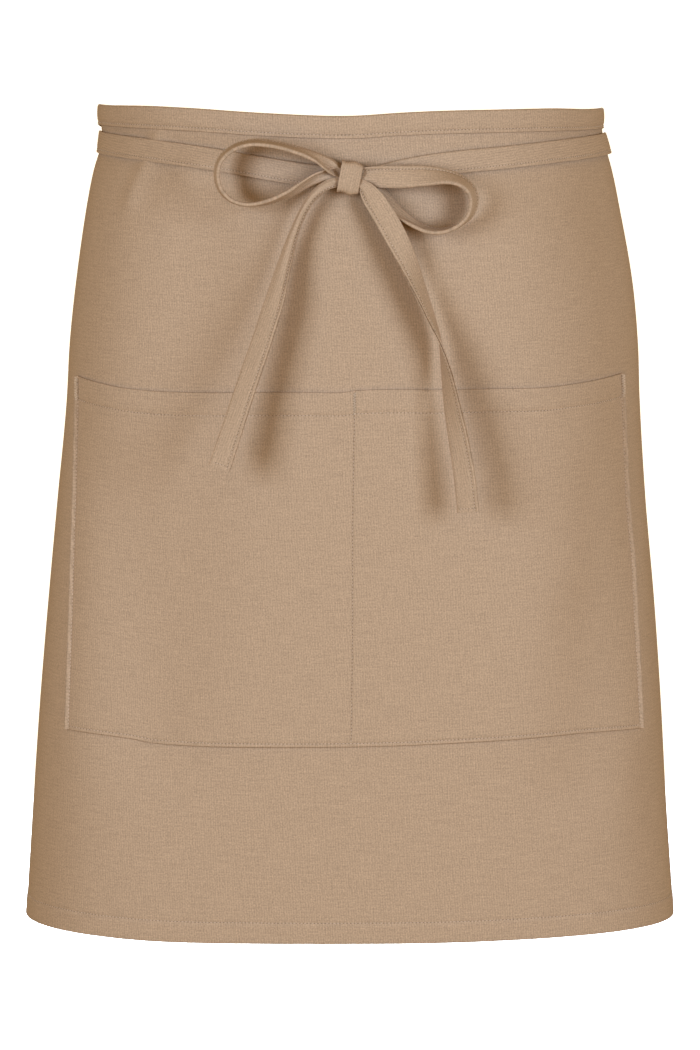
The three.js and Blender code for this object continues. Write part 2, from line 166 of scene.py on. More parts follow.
def cloth_grid(name, columns, rows, placed):
    """A sheet of cloth as a grid. placed gives each column and row its spot and its place in the weave."""
    bpy.ops.object.select_all(action="DESELECT")
    bpy.ops.mesh.primitive_grid_add(x_subdivisions=columns - 1, y_subdivisions=rows - 1, size=1)
    piece = bpy.context.object
    piece.name = piece.data.name = name
    flat = np.empty(len(piece.data.vertices) * 3)
    piece.data.vertices.foreach_get("co", flat)
    column = np.rint((flat[0::3] + 0.5) * (columns - 1)).astype(int)
    row = np.rint((flat[1::3] + 0.5) * (rows - 1)).astype(int)
    spots, weave = placed(column, row)
    piece.data.vertices.foreach_set("co", spots.ravel())
    threads = piece.data.attributes.new("cloth", "FLOAT_VECTOR", "POINT")
    threads.data.foreach_set("vector", np.column_stack([weave, np.zeros(len(weave))]).ravel())
    return piece


def thicken(piece):
    """Gives a sheet of cloth its thickness and smooth shading."""
    bpy.ops.object.modifier_add(type="SOLIDIFY")
    wall = piece.modifiers[-1]
    wall.thickness = CLOTH
    wall.offset = 0
    bpy.ops.object.modifier_apply(modifier=wall.name)
    bpy.ops.object.shade_smooth()


def creases(along, height, table):
    """Soft creases of the worn cloth, raised or sunk, each of which fades at both its ends."""
    relief = 0
    for start_along, start_height, end_along, end_height, half_width, rise in table:
        run = np.array((end_along - start_along, end_height - start_height))
        part = ((along - start_along) * run[0] + (height - start_height) * run[1]) / (run @ run)
        off = ((along - start_along) * run[1] - (height - start_height) * run[0]) / math.hypot(*run)
        fade = np.exp(-(np.clip(abs(part - 0.5) - 0.3, 0, None) / 0.16) ** 2)
        relief = relief + rise * fade * np.exp(-((off / half_width) ** 2))
    return relief


def seam_groove(distance, depth):
    """How far a row of stitches pulls the cloth in, at a distance from the row."""
    return -depth * np.exp(-((distance / GROOVE_SPREAD) ** 2))


def pucker(along, beat, sway):
    """The small uneven waves that a row of stitches draws up in the cloth."""
    return np.sin(along / beat + 2 * np.sin(along / sway))


HEM_STEP = 0.35 * MM
HEM_GROOVE = 0.3 * MM
HEM_PUCKER = 0.1 * MM
HEM_WAVE = 0.5 * MM

# The left tie presses the panel in at the side of the waist.
SQUEEZE = 1.6 * MM
SQUEEZE_LEVEL = -14 * MM
SQUEEZE_SPREAD = 13 * MM

# Creases: length of cloth from centre front and level where each starts and ends, half width and rise.
# The pocket follows the hollows at both sides too. The others are beside the left tie and over the knot.
SIDE_FOLDS = np.array([
    (-144, -190, -124, -405, 31, -4.6),
    (156, -195, 152, -300, 20, -1.4),
    (152, -275, 138, -425, 30, -3.6),
    (200, -240, 194, -395, 20, 2),
]) * MM
PANEL_CREASES = np.array([
    (-119, 0, -147, -54, 5.5, 2),
    (-110, -12, -134, -54, 7, -0.8),
    (-3, -8, -6, -22, 2.6, -0.9),
    (19, -8, 9, -22, 3, -0.9),
]) * MM

# How far the worn hem leaves its level, by length of cloth from centre front.
HEM_LIFT = np.array([
    (-390, 0), (-250, 1.3), (-205, 1.6), (-165, 0.6), (-120, -0.6), (-50, -0.5),
    (60, 0.2), (110, 1), (160, 1.7), (200, 2), (250, 1.4), (390, 0),
]) * MM


def hem_lift(along, height):
    """How far the cloth near the hem rises with it."""
    return smooth_table(HEM_LIFT, along)[:, 0] * ease_between(height, -400 * MM, HEM_SEAM)


def panel_relief(along, height):
    """How far the worn panel leaves its smooth form: at its hem, in its creases and under the left tie."""
    hem = HEM_STEP * ease_between(height, HEM_SEAM + 1 * MM, HEM_SEAM - 2 * MM)
    hem += seam_groove(height - HEM_SEAM, HEM_GROOVE)
    near_hem = np.exp(-(((height - HEM_SEAM) / (5 * MM)) ** 2))
    hem = hem + HEM_PUCKER * pucker(along, 2.9 * MM, 23 * MM) * near_hem
    squeeze = SQUEEZE * np.exp(-(((height - SQUEEZE_LEVEL) / SQUEEZE_SPREAD) ** 2))
    squeeze = squeeze * ease_between(-along, 90 * MM, 150 * MM) * ease_between(-along, 330 * MM, 250 * MM)
    wave = HEM_WAVE * np.sin(along / (31 * MM) + 0.6) * ease_between(height, -300 * MM, HEM)
    folds = creases(along, height, PANEL_CREASES) + creases(along, height, SIDE_FOLDS)
    return hem - squeeze + wave + folds


panel_left, panel_left_depth = turned_edge(-PANEL_HALF_WIDTH, 1, BACK_TURNING, 4)
panel_right, panel_right_depth = turned_edge(PANEL_HALF_WIDTH, -1, BACK_TURNING, 4)
panel_face = np.linspace(-PANEL_HALF_WIDTH + 2 * MM, PANEL_HALF_WIDTH - 2 * MM, 221)
panel_columns = np.concatenate([panel_left, panel_face, panel_right[::-1]])
panel_column_depths = np.concatenate([panel_left_depth, 0 * panel_face, panel_right_depth[::-1]])
panel_foot, panel_foot_depth = turned_edge(HEM, 1, HEM_TURNING, 6)
panel_levels = np.concatenate([
    np.linspace(HEM + 2 * MM, HEM_SEAM - 3 * MM, 4),
    np.linspace(HEM_SEAM - 2.4 * MM, HEM_SEAM + 2.4 * MM, 9),
    np.linspace(HEM_SEAM + 4 * MM, -72 * MM, 114),
    np.linspace(-69.5 * MM, PANEL_TOP, 31),
])
panel_rows = np.concatenate([panel_foot, panel_levels])
panel_row_depths = np.concatenate([panel_foot_depth, 0 * panel_levels])


def panel_spots(column, row):
    """The panel's cloth, with its edges turned in and its hem lifted."""
    along, height = panel_columns[column], panel_rows[row]
    depth = np.minimum(panel_column_depths[column], panel_row_depths[row])
    spots = drape(along, height, depth + panel_relief(along, height))
    spots[:, 2] += hem_lift(along, height)
    return spots, np.column_stack([along, height])


panel = cloth_grid("panel_cloth", len(panel_columns), len(panel_rows), panel_spots)
thicken(panel)


RIB_PITCH = 1.5 * MM
RIB_SHARE = 0.1
DYE_SPREAD = 0.32
# Uneven yarns along and across, and a fine grain: how fine each is both ways, and its share of the pattern.
YARNS = (((60, 1050, 1), 0.2), ((1050, 80, 1), 0.15), ((1000, 1000, 1), 0.55))


def twill_finish(name, color, rib_angle):
    """Matt twill: fine steep ribs that come and go, uneven yarns both ways and a fine grain."""
    finish = bpy.data.materials.new(name)
    finish.use_nodes = True
    nodes, links = finish.node_tree.nodes, finish.node_tree.links
    shader = nodes["Principled BSDF"]
    cloth = nodes.new("ShaderNodeAttribute")
    cloth.attribute_name = "cloth"
    turned = nodes.new("ShaderNodeMapping")
    turned.inputs["Rotation"].default_value = (0, 0, math.radians(rib_angle))
    links.new(cloth.outputs["Vector"], turned.inputs["Vector"])
    ribs = nodes.new("ShaderNodeTexWave")
    ribs.inputs["Scale"].default_value = 2 * math.pi / (20 * RIB_PITCH)
    ribs.inputs["Distortion"].default_value = 3.5
    ribs.inputs["Detail"].default_value = 2
    ribs.inputs["Detail Scale"].default_value = 1.1
    links.new(turned.outputs["Vector"], ribs.inputs["Vector"])
    weight = nodes.new("ShaderNodeMath")
    weight.operation = "MULTIPLY"
    weight.inputs[1].default_value = RIB_SHARE
    links.new(ribs.outputs["Fac"], weight.inputs[0])
    total = weight.outputs[0]
    for stretch, share in YARNS:
        yarns = nodes.new("ShaderNodeMapping")
        yarns.inputs["Scale"].default_value = stretch
        links.new(cloth.outputs["Vector"], yarns.inputs["Vector"])
        uneven = nodes.new("ShaderNodeTexNoise")
        uneven.inputs["Scale"].default_value = 1
        uneven.inputs["Detail"].default_value = 1
        links.new(yarns.outputs["Vector"], uneven.inputs["Vector"])
        added = nodes.new("ShaderNodeMath")
        added.operation = "MULTIPLY_ADD"
        added.inputs[1].default_value = share
        links.new(uneven.outputs["Fac"], added.inputs[0])
        links.new(total, added.inputs[2])
        total = added.outputs[0]
    dye = nodes.new("ShaderNodeValToRGB")
    dye.color_ramp.elements[0].position = 0.2
    dye.color_ramp.elements[0].color = tuple((1 - DYE_SPREAD) * c for c in color) + (1,)
    dye.color_ramp.elements[1].position = 0.8
    dye.color_ramp.elements[1].color = tuple((1 + DYE_SPREAD) * c for c in color) + (1,)
    links.new(total, dye.inputs["Fac"])
    links.new(dye.outputs["Color"], shader.inputs["Base Color"])
    gloss = nodes.new("ShaderNodeMapRange")
    gloss.inputs["To Min"].default_value = 0.85
    gloss.inputs["To Max"].default_value = 0.6
    links.new(total, gloss.inputs["Value"])
    links.new(gloss.outputs["Result"], shader.inputs["Roughness"])
    relief = nodes.new("ShaderNodeBump")
    relief.inputs["Strength"].default_value = 0.5
    relief.inputs["Distance"].default_value = 0.2 * MM
    links.new(total, relief.inputs["Height"])
    links.new(relief.outputs["Normal"], shader.inputs["Normal"])
    shader.inputs["Specular IOR Level"].default_value = 0.2
    shader.inputs["Sheen Weight"].default_value = 0.05
    shader.inputs["Sheen Roughness"].default_value = 0.5
    return finish


twill = twill_finish("beige_twill", TWILL_COLOR, -4.5)
panel.data.materials.append(twill)


# Thread, and the dark bead of painted shade at the needle hole before each stitch: half its length, width
# and height, and how far off it is.
THREAD = 0.5 * MM
HOLE_LENGTH, HOLE_WIDTH, HOLE_HEIGHT = 0.36 * MM, 0.34 * MM, 0.14 * MM
HOLE_LEAD = 0.3 * MM
STITCH_PITCH = 2.2 * MM
STITCH_LENGTH = 1.45 * MM
STITCH_STAND = CLOTH / 2 + 0.1 * MM


def unit(vectors):
    """The same ways, each one unit long."""
    return vectors / np.linalg.norm(vectors, axis=-1, keepdims=True)


def seam_stitches(points, outward, pitch=STITCH_PITCH, length=STITCH_LENGTH):
    """The two ends of each stitch along a line, and the way that the stitch stands up from the cloth."""
    run = np.append(0, np.cumsum(np.linalg.norm(np.diff(points, axis=0), axis=1)))
    count = int(run[-1] / pitch)
    start = (run[-1] - count * pitch + pitch - length) / 2 + pitch * np.arange(count)
    begin, end, up = (
        np.column_stack([np.interp(at, run, values[:, axis]) for axis in range(3)])
        for at, values in ((start, points), (start + length, points), (start + length / 2, outward))
    )
    return begin, end, up


def bead(rings):
    """The corners and faces of one small ball, from which each stitch or needle hole is copied."""
    bpy.ops.object.select_all(action="DESELECT")
    bpy.ops.mesh.primitive_uv_sphere_add(segments=6, ring_count=rings, radius=1)
    ball = bpy.context.object
    corners = np.array([vertex.co for vertex in ball.data.vertices])
    faces = [np.array(face.vertices) for face in ball.data.polygons]
    bpy.data.meshes.remove(ball.data)
    return corners, faces


def sew(name, seams, tacks=()):
    """Seams and bar tacks as one piece: beads of thread, and a dark bead of painted shade at the needle
    hole before a seam's stitch.
    """
    begin, end, up = (np.concatenate(part) for part in zip(*seams, *tacks))
    holes = sum(len(seam[0]) for seam in seams)
    lengthwise = (end - begin) / 2
    along = unit(lengthwise)
    sideways = unit(np.cross(along, up))
    upward = np.cross(sideways, along)
    corners, faces = [], []
    for ball, middles, long, wide, high in (
        (bead(4), (begin + end) / 2, lengthwise, THREAD / 2, THREAD / 2),
        (bead(3), (begin - along * HOLE_LEAD)[:holes], along * HOLE_LENGTH, HOLE_WIDTH, HOLE_HEIGHT),
    ):
        count = len(middles)
        spots = middles[:, None] + ball[0][None, :, 2, None] * long[:count, None]
        spots = spots + ball[0][None, :, 0, None] * sideways[:count, None] * wide
        spots = spots + ball[0][None, :, 1, None] * upward[:count, None] * high
        starts = sum(len(part) for part in corners) + len(ball[0]) * np.arange(count)
        corners.append(spots.reshape(-1, 3))
        faces.append([(start + face).tolist() for start in starts for face in ball[1]])
    mesh = bpy.data.meshes.new(name)
    mesh.from_pydata(np.vstack(corners).tolist(), [], faces[0] + faces[1])
    piece = bpy.data.objects.new(name, mesh)
    bpy.context.collection.objects.link(piece)
    mesh.materials.append(thread_finish)
    mesh.materials.append(painted_hole_shade)
    mesh.polygons.foreach_set("material_index", [0] * len(faces[0]) + [1] * len(faces[1]))
    mesh.polygons.foreach_set("use_smooth", [True] * len(mesh.polygons))
    return piece


# The needle holes are flat dark beads: their darkness is painted shade, not a recess in the cloth.
painted_hole_shade = bpy.data.materials.new("painted_needle_hole_shade")
painted_hole_shade.use_nodes = True
hole_shade_shader = painted_hole_shade.node_tree.nodes["Principled BSDF"]
hole_shade_shader.inputs["Base Color"].default_value = NEEDLE_HOLE_SHADE_COLOR + (1,)
hole_shade_shader.inputs["Roughness"].default_value = 0.9

thread_finish = bpy.data.materials.new("beige_thread")
thread_finish.use_nodes = True
thread_nodes = thread_finish.node_tree.nodes
thread_shader = thread_nodes["Principled BSDF"]
thread_place = thread_nodes.new("ShaderNodeTexCoord")
thread_twist = thread_nodes.new("ShaderNodeTexNoise")
thread_twist.inputs["Scale"].default_value = 900
thread_dye = thread_nodes.new("ShaderNodeValToRGB")
thread_dye.color_ramp.elements[0].color = tuple(0.8 * c for c in THREAD_COLOR) + (1,)
thread_dye.color_ramp.elements[1].color = tuple(1.15 * c for c in THREAD_COLOR) + (1,)
thread_links = thread_finish.node_tree.links
thread_links.new(thread_place.outputs["Object"], thread_twist.inputs["Vector"])
thread_links.new(thread_twist.outputs["Fac"], thread_dye.inputs["Fac"])
thread_links.new(thread_dye.outputs["Color"], thread_shader.inputs["Base Color"])
thread_shader.inputs["Roughness"].default_value = 0.6
thread_shader.inputs["Sheen Weight"].default_value = 0.2


def draped_seam(along, height, out):
    """A row of stitches on the worn cloth, at a distance off the panel's middle."""
    points = drape(along, height, out)
    outward = np.sign(np.mean(out)) * (drape(along, height, out + MM) - points)
    return points, outward


hem_run = np.linspace(-PANEL_HALF_WIDTH + 3 * MM, PANEL_HALF_WIDTH - 3 * MM, 400)
edge_run = np.linspace(HEM_SEAM, -9 * MM, 220)
edge_relief = panel_relief(380 * MM, edge_run)
hem_faces = (STITCH_STAND, -2 * FOLD_RADIUS - STITCH_STAND)
edge_seams = [
    seam_stitches(*draped_seam(side * (PANEL_HALF_WIDTH - BACK_SEAM), edge_run, edge_relief + off))
    for side in (-1, 1)
    for off in hem_faces
]
hem_seams = []
for off in hem_faces:
    seam_points, seam_outward = draped_seam(hem_run, HEM_SEAM, panel_relief(hem_run, HEM_SEAM) + off)
    seam_points[:, 2] += hem_lift(hem_run, HEM_SEAM)
    hem_seams.append(seam_stitches(seam_points, seam_outward))
panel_stitches = sew("panel_stitches", hem_seams + edge_seams)

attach(panel, "root")
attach(panel_stitches, "root")
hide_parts("apron_panel")


# Waistband: a strip of the same twill folded over the panel's top edge, both its long edges turned under.
# One row of stitches, 2 mm above its lower edge, goes through all the layers.
BAND_TOP = 6.65 * MM
BAND_LAYER = 1.15 * MM
BAND_TURNING = 5.5 * MM
BAND_SEAM = -4.6 * MM
BAND_GROOVE = 0.3 * MM
BAND_BULGE = 0.35 * MM
BAND_PUCKER = 0.09 * MM
BAND_SIDE_SHRINK = 0.09

# The crease that the knot's pull draws in the band, with the columns of the panel's creases.
BAND_CREASES = np.array([(-2, 3, -4, -9, 4, -0.25)]) * MM

# How far the band rides up on the waist, by length of cloth from centre front.
BAND_RISE = np.array([
    (-390, 0), (-240, 1.5), (-170, 3.2), (-131, 4.1), (-97, 3.8), (-63, 2.5), (-32, 1.9),
    (0, 2), (30, 3.2), (90, 3.2), (130, 2.6), (165, 1.1), (230, 0), (390, 0),
]) * MM


def band_rise(along):
    """How far the band has ridden up."""
    return smooth_table(BAND_RISE, along)[:, 0]


band_foot, band_foot_depth = turned_edge(-BAND_TOP, 1, BAND_TURNING, 4)
band_face = np.concatenate([
    np.linspace(-5.8 * MM, -3.3 * MM, 9),
    np.linspace(-2.4 * MM, BAND_TOP - BAND_LAYER - 0.5 * MM, 8),
])
band_arch = np.radians(np.linspace(0, 180, 11))
band_front = BAND_LAYER + BAND_BULGE * np.sin(np.pi * np.clip((band_face - BAND_SEAM) / (10 * MM), 0, 1))
band_front += seam_groove(band_face - BAND_SEAM, BAND_GROOVE)
band_half_levels = np.append(band_foot, band_face)
band_half_outs = np.append(BAND_LAYER + band_foot_depth, band_front)
band_levels = np.concatenate([
    band_half_levels,
    BAND_TOP - BAND_LAYER + BAND_LAYER * np.sin(band_arch),
    band_half_levels[::-1],
])
band_outs = np.concatenate([band_half_outs, BAND_LAYER * np.cos(band_arch), -band_half_outs[::-1]])
band_columns = np.linspace(-PANEL_HALF_WIDTH - 0.5 * MM, PANEL_HALF_WIDTH + 0.5 * MM, 225)
band_cut = np.append(0, np.cumsum(np.hypot(np.diff(band_levels), np.diff(band_outs))))


def band_relief(along, height):
    """The puckers along the band's seam and the crease above the knot."""
    near_seam = np.exp(-(((height - BAND_SEAM) / (4 * MM)) ** 2))
    return BAND_PUCKER * pucker(along, 2.6 * MM, 19 * MM) * near_seam + creases(along, height, BAND_CREASES)


def band_spots(column, row):
    """The band's cloth, from the turning inside its front round the top to the one inside its back."""
    along, height = band_columns[column], band_levels[row]
    height = height * (1 - BAND_SIDE_SHRINK * ease_between(abs(along), 120 * MM, 175 * MM))
    out = band_outs[row] + np.sign(band_outs[row]) * band_relief(along, height)
    spots = drape(along, height, out)
    spots[:, 2] += band_rise(along)
    return spots, np.column_stack([along, band_cut[row]])


waistband = cloth_grid("waistband_cloth", len(band_columns), len(band_levels), band_spots)
thicken(waistband)
waistband.data.materials.append(twill)

band_run = np.linspace(-PANEL_HALF_WIDTH + 2 * MM, PANEL_HALF_WIDTH - 2 * MM, 400)
band_proud = BAND_LAYER - BAND_GROOVE + STITCH_STAND
band_seams = []
for side in (-1, 1):
    seam_points, seam_outward = draped_seam(band_run, BAND_SEAM, side * band_proud)
    seam_points[:, 2] += band_rise(band_run)
    band_seams.append(seam_stitches(seam_points, seam_outward))
waistband_stitches = sew("waistband_stitches", band_seams)

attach(waistband, "root")
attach(waistband_stitches, "root")
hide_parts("waistband")


# Pocket: one wide rectangle of the twill with a hem at its mouth and its other edges turned under.
# It is sewn to the panel at its sides, foot and middle, so it stands off a little at its two mouths.
POCKET_HALF_WIDTH = 186.2 * MM
POCKET_TOP = -155 * MM
POCKET_FOOT = -373.5 * MM
POCKET_SEAT = 1.2 * MM
POCKET_TURNING = 8 * MM
POCKET_MOUTH_TURNING = 16 * MM
POCKET_MOUTH_SEAM = POCKET_TOP - 14 * MM
POCKET_EDGE_SEAM = 2 * MM
POCKET_EDGE_GROOVE = 0.4 * MM
POCKET_MOUTH_GROOVE = 0.2 * MM
POCKET_MIDDLE_GROOVE = 0.6 * MM
POCKET_SIDE_ROLL, POCKET_FOOT_ROLL = 2 * MM, 0.15 * MM
POCKET_EASE = 0.3 * MM
POCKET_HEM_STEP = 0.3 * MM
POCKET_FOOT_SKEW, POCKET_MOUTH_SKEW = 4.3 * MM, -0.5 * MM
POCKET_STITCH_STAND = CLOTH / 2 + 0.08 * MM
BAR_TACK_LENGTH = 14 * MM
BAR_TACK_WIDTH = 2 * MM
BAR_TACK_STITCHES = 18
BAR_TACK_TOP = POCKET_TOP - 0.6 * MM

# How far the worn pocket's mouth and foot leave their level, by length of cloth from its middle.
POCKET_MOUTH_SAG = np.array([
    (-186, 0.4), (-161, -2), (-150, -3.2), (-126, -4.6), (-94, -4.7), (-62, -3.3), (-32, -2.7), (-6, -2.6),
    (0, -1.7), (27, -0.9), (45, -1.3), (87, -1), (118, -1.4), (141, -0.4), (169, 1), (186, 2),
]) * MM
POCKET_FOOT_SAG = np.array([
    (-186, 5), (-158, 3.8), (-138, 2.2), (-125, 0.4), (-93, 0.1), (-61, 0.7), (0, 1.4), (30, 2.1),
    (59, 3.3), (88, 4.6), (119, 5.6), (152, 5.6), (186, 4.5),
]) * MM


def pocket_place(along, height):
    """Where a place on the pocket's rectangle comes to lie, as length of cloth and level on the panel."""
    part = (height - POCKET_FOOT) / (POCKET_TOP - POCKET_FOOT)
    mouth = smooth_table(POCKET_MOUTH_SAG, along)[:, 0]
    foot = smooth_table(POCKET_FOOT_SAG, along)[:, 0]
    skew = POCKET_FOOT_SKEW + (POCKET_MOUTH_SKEW - POCKET_FOOT_SKEW) * part**2.6
    return along + skew * (along / POCKET_HALF_WIDTH) ** 2, height + mouth * part + foot * (1 - part)


def pocket_stand(along, height):
    """How far the pocket's cloth stands off the middle of the panel's cloth."""
    ease = POCKET_EASE * np.sin(np.pi * np.clip(abs(along) / POCKET_HALF_WIDTH, 0, 1))
    stand = POCKET_SEAT + ease * ease_between(height, POCKET_FOOT, POCKET_TOP)
    from_side, from_foot = POCKET_HALF_WIDTH - abs(along), height - POCKET_FOOT
    for inside, roll in ((from_side, POCKET_SIDE_ROLL), (from_foot, POCKET_FOOT_ROLL)):
        stand += seam_groove(inside - POCKET_EDGE_SEAM, POCKET_EDGE_GROOVE)
        stand += roll * np.exp(-(((inside - 0.8 * MM) / (0.9 * MM)) ** 2))
    stand += seam_groove(height - POCKET_MOUTH_SEAM, POCKET_MOUTH_GROOVE)
    stand += seam_groove(along, POCKET_MIDDLE_GROOVE)
    stand += POCKET_HEM_STEP * ease_between(height, POCKET_MOUTH_SEAM, POCKET_MOUTH_SEAM + 3 * MM)
    return np.maximum(stand, POCKET_SEAT - 0.3 * MM)


pocket_left, pocket_left_depth = turned_edge(-POCKET_HALF_WIDTH, 1, POCKET_TURNING, 4)
pocket_right, pocket_right_depth = turned_edge(POCKET_HALF_WIDTH, -1, POCKET_TURNING, 4)
pocket_side = np.linspace(POCKET_HALF_WIDTH - 5 * MM, POCKET_HALF_WIDTH - 0.8 * MM, 9)
pocket_half = np.concatenate([np.linspace(2.7 * MM, POCKET_HALF_WIDTH - 6 * MM, 60), pocket_side])
pocket_face = np.concatenate([-pocket_half[::-1], np.linspace(-1.8 * MM, 1.8 * MM, 7), pocket_half])
pocket_columns = np.concatenate([pocket_left, pocket_face, pocket_right[::-1]])
pocket_column_depths = np.concatenate([pocket_left_depth, 0 * pocket_face, pocket_right_depth[::-1]])
pocket_low, pocket_low_depth = turned_edge(POCKET_FOOT, 1, POCKET_TURNING, 4)
pocket_high, pocket_high_depth = turned_edge(POCKET_TOP, -1, POCKET_MOUTH_TURNING, 6)
pocket_levels = np.concatenate([
    np.linspace(POCKET_FOOT + 0.8 * MM, POCKET_FOOT + 5 * MM, 9),
    np.linspace(POCKET_FOOT + 7 * MM, POCKET_MOUTH_SEAM - 4 * MM, 64),
    np.linspace(POCKET_MOUTH_SEAM - 2.4 * MM, POCKET_MOUTH_SEAM + 3 * MM, 10),
    np.linspace(POCKET_MOUTH_SEAM + 5 * MM, POCKET_TOP - 1.5 * MM, 5),
])
pocket_rows = np.concatenate([pocket_low, pocket_levels, pocket_high[::-1]])
pocket_row_depths = np.concatenate([pocket_low_depth, 0 * pocket_levels, pocket_high_depth[::-1]])


def pocket_spots(column, row):
    """The pocket's cloth, with all its edges turned under, laid over the panel's side folds."""
    along, height = pocket_columns[column], pocket_rows[row]
    depth = np.minimum(pocket_column_depths[column], pocket_row_depths[row])
    worn = pocket_place(along, height)
    spots = drape(*worn, pocket_stand(along, height) + depth + creases(*worn, SIDE_FOLDS))
    return spots, np.column_stack([along, height])


pocket = cloth_grid("pocket_cloth", len(pocket_columns), len(pocket_rows), pocket_spots)
thicken(pocket)
pocket.data.materials.append(twill)


def pocket_seam(along, height):
    """A row of stitches on the pocket's face, and the way that the cloth faces there."""
    along, height = np.broadcast_arrays(along, height)
    worn = pocket_place(along, height)
    proud = pocket_stand(along, height) + POCKET_STITCH_STAND + creases(*worn, SIDE_FOLDS)
    points = drape(*worn, proud)
    return points, drape(*worn, proud + MM) - points


def bar_tack(along, height):
    """Close zigzag stitches down from a place at the pocket's mouth."""
    turns = np.arange(BAR_TACK_STITCHES + 1)
    levels = height - BAR_TACK_LENGTH * turns / BAR_TACK_STITCHES
    across = along + BAR_TACK_WIDTH / 2 * np.where(turns % 2, 1, -1)
    points, outward = pocket_seam(across, levels)
    return points[:-1], points[1:], outward[:-1]


pocket_side_seam = POCKET_HALF_WIDTH - POCKET_EDGE_SEAM
pocket_side_tack = pocket_side_seam + 0.4 * MM
pocket_drop = np.linspace(POCKET_TOP - 1 * MM, POCKET_FOOT + POCKET_EDGE_SEAM, 120)
pocket_span = np.linspace(-pocket_side_seam, pocket_side_seam, 200)
pocket_seams = [
    (-pocket_side_seam, pocket_drop),
    (pocket_side_seam, pocket_drop),
    (pocket_span, POCKET_FOOT + POCKET_EDGE_SEAM),
    (pocket_span, POCKET_MOUTH_SEAM),
    (0, pocket_drop),
]
pocket_stitches = sew(
    "pocket_stitches",
    [seam_stitches(*pocket_seam(along, height)) for along, height in pocket_seams],
    tacks=[bar_tack(along, BAR_TACK_TOP) for along in (0, -pocket_side_tack, pocket_side_tack)],
)

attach(pocket, "root")
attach(pocket_stitches, "root")
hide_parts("pocket")


# Waist ties: the strip of the waistband runs on at each back end as a tape, folded to 13.5 mm and stitched.
# The two tapes cross at centre back and come round the far sides, below the waistband, into the knot.
TAPE_WIDTH = 13.5 * MM
TAPE_PRESSED_WIDTH = 11.5 * MM
TAPE_PLEATS = 1.5
TAPE_SEAM = 2.2 * MM
TAPE_STITCH_PITCH = 2 * MM
TAPE_STITCH_LENGTH = 1.3 * MM
TAPE_STITCH_STAND = 0.52 * MM

half_waist = waist_outline(0, 1)[2][-1]
half_gap = half_waist - PANEL_HALF_WIDTH
# Tape from the knot to the waistband's end: distance round from centre front, level of the left and right
# tape, width, how far the left and right tape stand off the panel, and how far the right one flares out.
TIE_RUN = np.array([
    (1 * MM, -29, -29, 10, 3.65, 3.65, 0),
    (9 * MM, -28.8, -28.8, 10.5, 3.65, 3.65, 0),
    (16 * MM, -28.2, -27.6, 12.5, 2.8, 2.8, 0),
    (32 * MM, -26.7, -24.3, 13.5, 2, 2, 0),
    (60 * MM, -22.8, -20.7, 13.5, 2, 2, 0),
    (90 * MM, -18.8, -18.6, 13.5, 1.9, 2, 0),
    (134 * MM, -15.2, -16.1, 13.5, 1, 2, 0.3),
    (172 * MM, -14.2, -15.1, 13.5, 0.3, 2.3, 0.7),
    (215 * MM, -14, -14.8, 13.5, 0.4, 2.4, 0.7),
    (330 * MM, -15.4, -15.6, 13.5, 1.9, 2, 0),
    (half_waist - half_gap, -15.6, -15.6, 13.5, 1.7, 2, 0),
    (half_waist - 0.65 * half_gap, -14.7, -14.7, 13.5, 0.7, 2.3, 0),
    (half_waist - 0.3 * half_gap, -11.3, -11.3, 13.5, 0.3, 2.5, 0),
    (half_waist, -7.7, -7.7, 13.5, 0.2, 2.6, 0),
    (half_waist + 0.3 * half_gap, -4.1, -4.1, 13.5, 0, 2.6, 0),
    (half_waist + 0.65 * half_gap, -0.7, -0.7, 13.5, 0, 2.5, 0),
    (half_waist + 0.85 * half_gap, 0, 0, 13.5, 0, 0.9, 0),
    (half_waist + half_gap + 6 * MM, 0, 0, 13, 0, 0, 0),
]) * (1, MM, MM, MM, MM, MM, MM)

# Half of the folded tape's section, from its stitched edge to the fold: place across, and off its middle.
TAPE_FACE = np.array([
    (-5.9, 0), (-6.7, 0.24), (-6.7, 0.46), (-6.3, 0.64), (-5.5, 0.62), (-4.9, 0.5), (-4.5, 0.46),
    (-4.1, 0.5), (-3.4, 0.63), (-2, 0.69), (0, 0.7), (2, 0.7), (4, 0.69), (5.6, 0.64), (6.3, 0.54),
    (6.65, 0.32), (6.75, 0),
])
tape_section = np.vstack([TAPE_FACE, TAPE_FACE[-2::-1] * (1, -1)]) * MM


def tape_fullness(width, fullness):
    """How much fuller the folds of a loose tape stand than where the knot presses them flat."""
    return 1 + (fullness - 1) * ease_between(width, TAPE_PRESSED_WIDTH, TAPE_WIDTH)


def tape_piece(name, centres, across, facing, width, stitched=1, fullness=1, pleat=1, curl=0, ends=True):
    """A folded tape along a line. It pleats where it is gathered. stitched is the side of its open edge."""
    run = np.append(0, np.cumsum(np.linalg.norm(np.diff(centres, axis=0), axis=1)))

    def tape_spots(column, row):
        place = stitched * tape_section[row, 0]
        gathered = np.clip(width[column] / TAPE_WIDTH, 0.4, 1)
        pleat_depth = width[column] / (np.pi * TAPE_PLEATS) * np.sqrt(1 / gathered - 1)
        part = place / TAPE_WIDTH
        lift = tape_section[row, 1] * tape_fullness(width, fullness)[column]
        lift = lift + pleat * pleat_depth * np.sin(2 * np.pi * TAPE_PLEATS * part + 0.6)
        lift = lift - curl * (2 * part) ** 4
        spots = centres[column] + across[column] * (part * width[column])[:, None]
        return spots + facing[column] * lift[:, None], np.column_stack([run[column], place])

    piece = cloth_grid(name, len(centres), len(tape_section), tape_spots)
    bpy.ops.object.mode_set(mode="EDIT")
    bpy.ops.mesh.select_all(action="SELECT")
    bpy.ops.mesh.remove_doubles(threshold=0.004 * MM)
    if ends:
        bpy.ops.mesh.fill_holes(sides=0)
    bpy.ops.mesh.select_all(action="SELECT")
    bpy.ops.mesh.normals_make_consistent(inside=False)
    bpy.ops.object.mode_set(mode="OBJECT")
    bpy.ops.object.shade_smooth_by_angle(angle=math.radians(50))
    piece.data.materials.append(tape_twill)
    return piece


